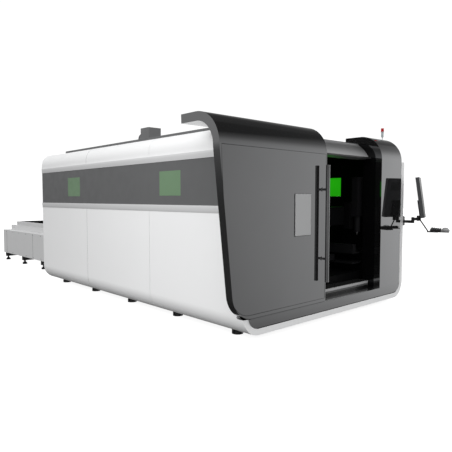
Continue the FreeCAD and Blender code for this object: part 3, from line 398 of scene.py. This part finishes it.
class Form:
    """Collects faces of one piece, in millimetres from ORIGIN, then becomes an object."""

    def __init__(self):
        self.mesh = bmesh.new()

    def polygon_run(self, rings, closed=False):
        """Skins a list of point rings, each a closed loop; closed joins the last to the first."""
        loops = [[self.mesh.verts.new(at(*point)) for point in ring] for ring in rings]
        count = len(loops)
        for i in range(count if closed else count - 1):
            near, far = loops[i], loops[(i + 1) % count]
            for j in range(len(near)):
                following = (j + 1) % len(near)
                self.mesh.faces.new((near[j], near[following], far[following], far[j]))
        if not closed:
            self.mesh.faces.new(loops[0][::-1])
            self.mesh.faces.new(loops[-1])

    def slab(self, x, y, z):
        """A block between two values on each axis."""
        ring = [(x[0], y[0]), (x[1], y[0]), (x[1], y[1]), (x[0], y[1])]
        self.polygon_run([[(u, v, height) for u, v in ring] for height in z])

    def turned(self, centre, profile, axis="z", sides=32):
        """A solid of revolution from (radius, distance along the axis) pairs."""
        rings = []
        for radius, along in profile:
            ring = []
            for step in range(sides):
                turn = 2 * math.pi * step / sides
                u, v = radius * math.cos(turn), radius * math.sin(turn)
                offset = {"z": (u, v, along), "y": (u, along, v), "x": (along, u, v)}[axis]
                ring.append(tuple(c + o for c, o in zip(centre, offset)))
            rings.append(ring)
        self.polygon_run(rings)

    def band_along(self, points, across, depth, closed=False):
        """A flat strip that follows points on an upright plane facing -Y."""
        rings = []
        count = len(points)
        for i, (x, y, z) in enumerate(points):
            before = points[i - 1] if closed or i else points[i]
            after = points[(i + 1) % count] if closed or i < count - 1 else points[i]
            run = Vector((after[0] - before[0], after[2] - before[2])).normalized()
            side = Vector((-run.y, run.x)) * across / 2
            rings.append([(x - side.x, y, z - side.y), (x + side.x, y, z + side.y),
                          (x + side.x, y - depth, z + side.y), (x - side.x, y - depth, z - side.y)])
        self.polygon_run(rings, closed)

    def finish(self, name, body, slot, finish=None, matrix=None):
        """Makes the object, rides it on a body and gives it its slot's finish or its own."""
        bmesh.ops.recalc_face_normals(self.mesh, faces=self.mesh.faces)
        if matrix:
            bmesh.ops.transform(self.mesh, matrix=matrix, verts=self.mesh.verts)
        data = bpy.data.meshes.new(name)
        self.mesh.to_mesh(data)
        self.mesh.free()
        data.materials.append(FINISHES[finish or slot])
        piece = bpy.data.objects.new(name, data)
        bpy.context.scene.collection.objects.link(piece)
        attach(piece, body)
        return piece


def arc_points(centre, radius, start, end, steps):
    """(u, v) points on an arc, in degrees."""
    turns = (math.radians(start + (end - start) * i / steps) for i in range(steps + 1))
    return [(centre[0] + radius * math.cos(t), centre[1] + radius * math.sin(t)) for t in turns]


HANDLE_POSTS = (791, 1619)
SIDE_PANELS = 3
SEAM_HEIGHTS = ((300, 1350), (2042, 2095))
NUT_HEIGHTS = (("cabin_feet", 62), ("table_feet", 48))
KEYBOARD_REAR, KEYBOARD_DEPTH, KEYBOARD_WIDTH, KEYBOARD_HEIGHT = -162, 165, 400, 30
KEY_COLUMNS, KEY_ROWS = 15, 5
MONITOR_FOOT = (0, -44, 1228)
MONITOR_LEAN = 8.2
CHAIN_LINKS, CHAIN_PITCH, CHAIN_START = 60, 46, 900


def door_groove():
    """The thin joint line of the door's face sheet, inside the door's edge."""
    foot, top, right = 300, 2042, -287
    corner, corner_left = 262, -1845
    path = [(-1973, top), (-1967, 1800), (-1931, 1300), (-1887, 900)]
    path += arc_points((corner_left + corner, foot + corner), corner, 192, 270, 14)
    path += [(right, foot), (right, top)]
    form = Form()
    form.band_along([(x, 0.2, z) for x, z in path], 5, 0.9, closed=True)
    form.finish("door_face_joint", "door", "door_grey", "groove_dark")


def pane_bezel():
    """Thin black gasket round the door's pane."""
    lower, upper = ends("door_glass")
    corners = [(lower.x - 3, lower.z - 3), (upper.x + 3, lower.z - 3), (upper.x + 3, upper.z + 3),
               (lower.x - 3, upper.z + 3)]
    form = Form()
    form.band_along([(x, 0.2, z) for x, z in corners], 6, 3, closed=True)
    form.finish("door_pane_gasket", "door", "black_paint")


def handle_details():
    """Domed caps on the ends of the handle and collars where its posts meet the door."""
    lower, upper = ends("door_handle")
    middle = (lower.x + upper.x) / 2
    radius = (upper.x - lower.x) / 2
    bar_y = lower.y + radius
    form = Form()
    for height in HANDLE_POSTS:
        profile = [(0.5, 0.0), (24, 0.0), (24, -4), (20, -7), (0.5, -7)]
        form.turned((middle, 0, height), profile, "y")
    form.finish("handle_collars", "door", "handle_black")
    caps = Form()
    for z, way in ((upper.z, 1), (lower.z, -1)):
        caps.turned((middle, bar_y, z), [(radius + 1.2, -14 * way), (radius + 1.2, -1 * way),
                                         (radius * 0.8, 2.2 * way), (0.5, 2.6 * way)])
    caps.finish("handle_caps", "door", "handle_black")


def lamp_details():
    """Ribs round the lamp's lens and the collar under it."""
    lower, upper = ends("lamp_lens")
    centre = ((lower.x + upper.x) / 2, (lower.y + upper.y) / 2, lower.z)
    radius = (upper.x - lower.x) / 2
    height = upper.z - lower.z
    form = Form()
    for share in (0.2, 0.4, 0.6, 0.8):
        z = height * share
        form.turned(centre, [(radius - 2, z - 2.4), (radius + 1.6, z - 1.2),
                             (radius + 1.6, z + 1.2), (radius - 2, z + 2.4)])
    form.finish("lamp_lens_ribs", "cabin", "lamp_red")
    ring = Form()
    ring.turned(centre, [(radius - 4, -7), (radius + 2, -6), (radius + 2, 1.5), (radius - 3, 2)])
    ring.finish("lamp_collar", "cabin", "lamp_grey")


def duct_details():
    """Flange round the open spigot, and the foot flange of the extraction box."""
    lower, upper = ends("duct_box")
    centre = (lower.x + (upper.x - lower.x) / 2, upper.y, (lower.z + upper.z) / 2)
    form = Form()
    rings = []
    for radius, along in ((86.2, -14), (98, -14), (98, -2), (86.2, -2)):
        rings.append([(centre[0] + radius * math.cos(math.tau * i / 48), centre[1] + along,
                       centre[2] + radius * math.sin(math.tau * i / 48)) for i in range(48)])
    form.polygon_run(rings, closed=True)
    form.finish("spigot_flange", "cabin", "band_dark", "duct_grey")
    skirt = Form()
    skirt.slab((lower.x - 10, upper.x + 10), (lower.y - 10, upper.y - 92), (lower.z, lower.z + 6))
    piece = skirt.finish("duct_foot_flange", "cabin", "band_dark", "duct_grey")
    round_edges(piece, 2)


def table_details():
    """Seam covers and screw heads on the long side panels of the exchange table."""
    lower, upper = ends("table_panels")
    seams = Form()
    heads = Form()
    for side in (lower.x, upper.x):
        way = -1 if side < 0 else 1
        for y in (CABIN_REAR + 1953, upper.y - 230):
            x = sorted((side, side + 1.2 * way))
            seams.slab(x, (y - 3, y + 3), (lower.z + 4, upper.z - 4))
        for index in range(9):
            y = lower.y + 210 + index * 430
            for z in (lower.z + 34, upper.z - 34):
                heads.turned((side, y, z), [(9, 0), (9, 2.2 * way), (6, 4 * way), (0.4, 4 * way)],
                             "x", 12)
    seams.finish("table_seams", "cabin", "table_white", "rail_grey")
    heads.finish("table_screws", "cabin", "table_white", "bright_steel")


def foot_nuts():
    """Lock nuts on the stems of the levelling feet."""
    form = Form()
    for node, collar in NUT_HEIGHTS:
        points = [corner.co for corner in frame["nodes"][node].data.vertices
                  if corner.co.z < 0.5 * MM]
        centres = []
        for point in points:
            spot = place_of(point)
            near = [c for c in centres if (Vector(c[0]) - spot).length < 200]
            if near:
                near[0][1].append(spot)
            else:
                centres.append((tuple(spot), [spot]))
        for _, spots in centres:
            xs = [s.x for s in spots]
            ys = [s.y for s in spots]
            middle = ((min(xs) + max(xs)) / 2, (min(ys) + max(ys)) / 2, 0)
            form.turned(middle, [(20, collar - 16), (34, collar - 15), (34, collar + 3),
                                 (20, collar + 4)], sides=6)
    form.finish("foot_nuts", "cabin", "black_paint")


def station_matrix():
    """The station's own frame: -Y towards the operator, origin under the wrist."""
    axis = Vector(JOINTS["monitor_tilt"]["axis"]).normalized()
    wrist = Vector(JOINTS["station_swivel"]["pos_m"])
    wrist.z = 0
    turn = Matrix((axis, Vector((-axis.y, axis.x, 0)), Vector((0, 0, 1)))).transposed().to_4x4()
    return Matrix.Translation(wrist) @ turn @ Matrix.Translation(-ORIGIN)


def keys(station):
    """Rows of key caps standing on the keyboard's sloping top."""
    tray_top = place_of(high("keyboard_tray")).z
    pitch_x = (KEYBOARD_WIDTH - 24) / KEY_COLUMNS
    pitch_y = (KEYBOARD_DEPTH - 26) / KEY_ROWS
    form = Form()
    for row in range(KEY_ROWS):
        y = KEYBOARD_REAR - 13 - (row + 0.5) * pitch_y
        slope = (KEYBOARD_REAR - y) / KEYBOARD_DEPTH
        top = tray_top + KEYBOARD_HEIGHT * (1 - slope / 2)
        for column in range(KEY_COLUMNS):
            x = -KEYBOARD_WIDTH / 2 + 12 + (column + 0.5) * pitch_x
            base = [(x - 11, y - 11), (x + 11, y - 11), (x + 11, y + 11), (x - 11, y + 11)]
            cap = [(x - 8, y - 8), (x + 8, y - 8), (x + 8, y + 9), (x - 8, y + 9)]
            form.polygon_run([[(u, v, top - 4) for u, v in base],
                              [(u, v, top + 7) for u, v in cap]])
    form.finish("key_caps", "console", "key_black", matrix=station)


def mouse_details(station):
    """The mouse's wheel."""
    tray_top = place_of(high("keyboard_tray")).z
    form = Form()
    form.turned((120, -372, tray_top + 31), [(3, -4), (9, -3), (9, 3), (3, 4)], "x", 20)
    form.finish("mouse_wheel", "console", "key_black", matrix=station)


def monitor_details(station):
    """Cooling slots on the monitor's back and the bezel round its glass."""
    lean = Matrix.Rotation(math.radians(-MONITOR_LEAN), 4, "X")
    tilt = Matrix.Translation(at(*MONITOR_FOOT)) @ lean @ Matrix.Translation(-ORIGIN)
    form = Form()
    for index in range(12):
        z = 410 + index * 11
        form.slab((-120, 120), (-0.6, 1.2), (z, z + 4))
    form.finish("monitor_vents", "monitor", "black_paint", "groove_dark", matrix=station @ tilt)
    lip = Form()
    lip.band_along([(-183, -47.6, 7), (183, -47.6, 7), (183, -47.6, 581), (-183, -47.6, 581)],
                   7, 1.6, closed=True)
    lip.finish("monitor_bezel", "monitor", "monitor_grey", "black_paint", matrix=station @ tilt)


def arm_knuckles():
    """Round caps over the pivots of the swing arm."""
    lower, upper = ends("upper_arm")
    for name, joint, z, way in (("elbow_cap", "elbow_swing", upper.z, 1),
                                ("wrist_cap", "station_swivel", lower.z, -1)):
        spot = place_of(Vector(JOINTS[joint]["pos_m"]))
        form = Form()
        form.turned((spot.x, spot.y, z),
                    [(20, 0), (20, 5 * way), (16, 8 * way), (0.5, 8.5 * way)])
        form.finish(name, "upper_arm", "black_paint")
    spot = place_of(Vector(JOINTS["shoulder_swing"]["pos_m"]))
    top = place_of(high("arm_bracket")).z
    form = Form()
    form.turned((spot.x, spot.y, top), [(18, 0), (18, 4), (14, 7), (0.5, 7.5)])
    form.finish("shoulder_cap", "cabin", "black_paint")


def window_skins():
    """Outer sheets of the side windows, flush with the band, and their inner faces, which glow with painted light
    in place of daylight.
    """
    outer = Form()
    inner = Form()
    for word, side in (("left", -1), ("right", 1)):
        panes = [corner.co for corner in frame["nodes"][f"{word}_windows"].data.vertices]
        middle = sum((p.y for p in panes)) / len(panes)
        for group in ([p for p in panes if p.y < middle], [p for p in panes if p.y > middle]):
            y = (place_of(Vector((0, min(p.y for p in group), 0))).y,
                 place_of(Vector((0, max(p.y for p in group), 0))).y)
            z = (min(p.z for p in group) / MM, max(p.z for p in group) / MM)
            outer.slab(sorted((side * (HALF_WIDTH - 8), side * (HALF_WIDTH - 1.7))), y, z)
            inner.slab(sorted((side * (HALF_WIDTH - 49), side * (HALF_WIDTH - 44))), y, z)
    round_edges(outer.finish("window_outer_sheets", "cabin", "window_green"), 1.5)
    round_edges(inner.finish("window_inner_sheets", "cabin", "window_green", "window_glow"), 1.5)


def panel_seams():
    """Dark gaskets behind the seams between the side panels."""
    form = Form()
    for index in (1, 2):
        y = index * CABIN_REAR / SIDE_PANELS
        for side in (-1, 1):
            x = sorted((side * (HALF_WIDTH - 46), side * (HALF_WIDTH - 3)))
            for heights in SEAM_HEIGHTS:
                form.slab(x, (y - 1.6, y + 1.6), heights)
    form.finish("seam_gaskets", "cabin", "black_paint", "groove_dark")


def drag_chain():
    """The chain of links that lies beside the gantry's left rail."""
    form = Form()
    for index in range(CHAIN_LINKS):
        y = CHAIN_START + index * CHAIN_PITCH
        form.slab((-1236, -1166), (y, y + 38), (742, 790))
    form.finish("energy_chain", "cabin", "black_paint")


def scrap_tray():
    """Dark tray over the bed's cross beams, open towards the pallets, with upturned edges."""
    beam_top = place_of(high("bed_cross_beams")).z
    half = place_of(high("cabin_pallet_rails")).x - 100
    front, rear = (corner.y for corner in ends("bed_beams"))
    floor, edge, wall = beam_top + 0.5, beam_top + 60, 3
    section = [(-half, edge), (-half, floor), (half, floor), (half, edge), (half - wall, edge),
               (half - wall, floor + wall), (-half + wall, floor + wall), (-half + wall, edge)]
    form = Form()
    form.polygon_run([[(x, y, z) for x, z in section] for y in (front + 4, rear - 4)])
    form.finish("scrap_tray", "cabin", "bed_paint")


station = station_matrix()
door_groove()
pane_bezel()
handle_details()
lamp_details()
duct_details()
table_details()
foot_nuts()
keys(station)
mouse_details(station)
monitor_details(station)
arm_knuckles()
window_skins()
panel_seams()
drag_chain()
scrap_tray()


# ---- studio --------------------------------------------------------------------------------------

CAMERA_PLACE = (-5068, -3450, 1518)
CAMERA_AIM = (0.6734, 0.7370, -0.0585)
CAMERA_LENS = 38.07
FLOOR_REACH = 60
KEY_PLACE, KEY_AIM = (-5600, 500, 2500), (-1660, 900, 1300)
KEY_SIZE, KEY_POWER = 2.5, 65
DOME_STRENGTH = 1.05
# Brightness by direction: (share of the way from -1 to 1, level). FRONT and REAR are what
# reflections see on either side of the machine, DOME is what lights it.
FRONT_BY_X = [(0.0, 0.30), (0.70, 0.12), (0.78, 0.30), (0.84, 0.48), (0.905, 0.72), (0.945, 1.0),
              (1.0, 1.0)]
REAR_BY_X = [(0.0, 0.0), (0.09, 0.02), (0.14, 1.0), (1.0, 1.0)]
FRONT_BY_Z = [(0.0, 0.35), (0.4, 0.9), (0.5, 1.0), (0.565, 1.0), (0.63, 0.85), (0.71, 0.35),
              (0.79, 0.06), (1.0, 0.04)]
REAR_BY_Z = [(0.0, 0.02), (0.405, 0.048), (0.425, 0.058), (0.446, 0.09), (0.467, 0.15),
             (0.488, 0.23), (0.509, 0.32), (0.529, 0.45), (0.552, 0.52), (0.6, 0.52), (0.68, 0.2),
             (0.8, 0.05), (1.0, 0.04)]
REAR_SHARE_BY_Y = [(0.0, 0.0), (0.48, 0.0), (0.52, 1.0), (1.0, 1.0)]
DOME_BY_Z = [(0.0, 0.10), (0.45, 0.27), (0.55, 0.88), (0.75, 1.3), (1.0, 1.4)]


def studio_world():
    """Soft dome that lights the machine, a banded studio for its reflections, white behind it."""
    world = bpy.data.worlds.new("studio")
    bpy.context.scene.world = world
    world.use_nodes = True
    tree = world.node_tree
    tree.nodes.clear()
    output = tree.nodes.new("ShaderNodeOutputWorld")
    background = tree.nodes.new("ShaderNodeBackground")
    tree.links.new(background.outputs["Background"], output.inputs["Surface"])
    direction = tree.nodes.new("ShaderNodeTexCoord").outputs["Generated"]
    parts = tree.nodes.new("ShaderNodeSeparateXYZ")
    tree.links.new(direction, parts.inputs["Vector"])
    half_x, half_y, half_z = (arithmetic(tree, "MULTIPLY_ADD", parts.outputs[axis], 0.5, 0.5)
                              for axis in "XYZ")
    front = arithmetic(tree, "MULTIPLY", level_ramp(tree, half_x, FRONT_BY_X),
                       level_ramp(tree, half_z, FRONT_BY_Z))
    rear = arithmetic(tree, "MULTIPLY", level_ramp(tree, half_x, REAR_BY_X),
                      level_ramp(tree, half_z, REAR_BY_Z))
    side = level_ramp(tree, half_y, REAR_SHARE_BY_Y)
    mirror = blend(tree, side, front, rear)
    dome = level_ramp(tree, half_z, DOME_BY_Z)
    ray = tree.nodes.new("ShaderNodeLightPath")
    seen = blend(tree, ray.outputs["Is Glossy Ray"], dome, mirror)
    back = blend(tree, ray.outputs["Is Camera Ray"], seen, (1, 1, 1))
    tree.links.new(back, background.inputs["Color"])
    background.inputs["Strength"].default_value = DOME_STRENGTH


def soft_light(name, place, aim, size, power):
    """A large area light that doesn't show in reflections."""
    data = bpy.data.lights.new(name, "AREA")
    data.size = size
    data.energy = power
    light = bpy.data.objects.new(name, data)
    bpy.context.scene.collection.objects.link(light)
    light.location = at(*place)
    light.rotation_euler = (at(*aim) - at(*place)).to_track_quat("-Z", "Y").to_euler()
    light.visible_glossy = False


def pale_floor():
    """White floor that only the camera sees."""
    mesh = bpy.data.meshes.new("floor")
    form = bmesh.new()
    bmesh.ops.create_grid(form, x_segments=1, y_segments=1, size=FLOOR_REACH)
    form.to_mesh(mesh)
    form.free()
    floor = bpy.data.objects.new("floor", mesh)
    bpy.context.scene.collection.objects.link(floor)
    floor.location.z = CAD_BOX[0][2] - 2 * MM
    material, _, shader = new_material("floor_white")
    shader.inputs["Base Color"].default_value = (0.3, 0.3, 0.3, 1)
    shader.inputs["Roughness"].default_value = 1.0
    shader.inputs["Emission Color"].default_value = (1, 1, 1, 1)
    shader.inputs["Emission Strength"].default_value = 0.9
    mesh.materials.append(material)
    floor.visible_diffuse = False
    floor.visible_glossy = False


def photo_camera():
    """At head height off the door's left, looking along the front and the left side."""
    data = bpy.data.cameras.new("camera")
    data.sensor_width = 36
    data.lens = CAMERA_LENS
    data.clip_end = 200
    camera = bpy.data.objects.new("camera", data)
    bpy.context.scene.collection.objects.link(camera)
    camera.location = at(*CAMERA_PLACE)
    camera.rotation_euler = Vector(CAMERA_AIM).to_track_quat("-Z", "Y").to_euler()
    bpy.context.scene.camera = camera


studio_world()
soft_light("left_key", KEY_PLACE, KEY_AIM, KEY_SIZE, KEY_POWER)
pale_floor()
photo_camera()
bpy.context.scene.view_settings.view_transform = "Standard"
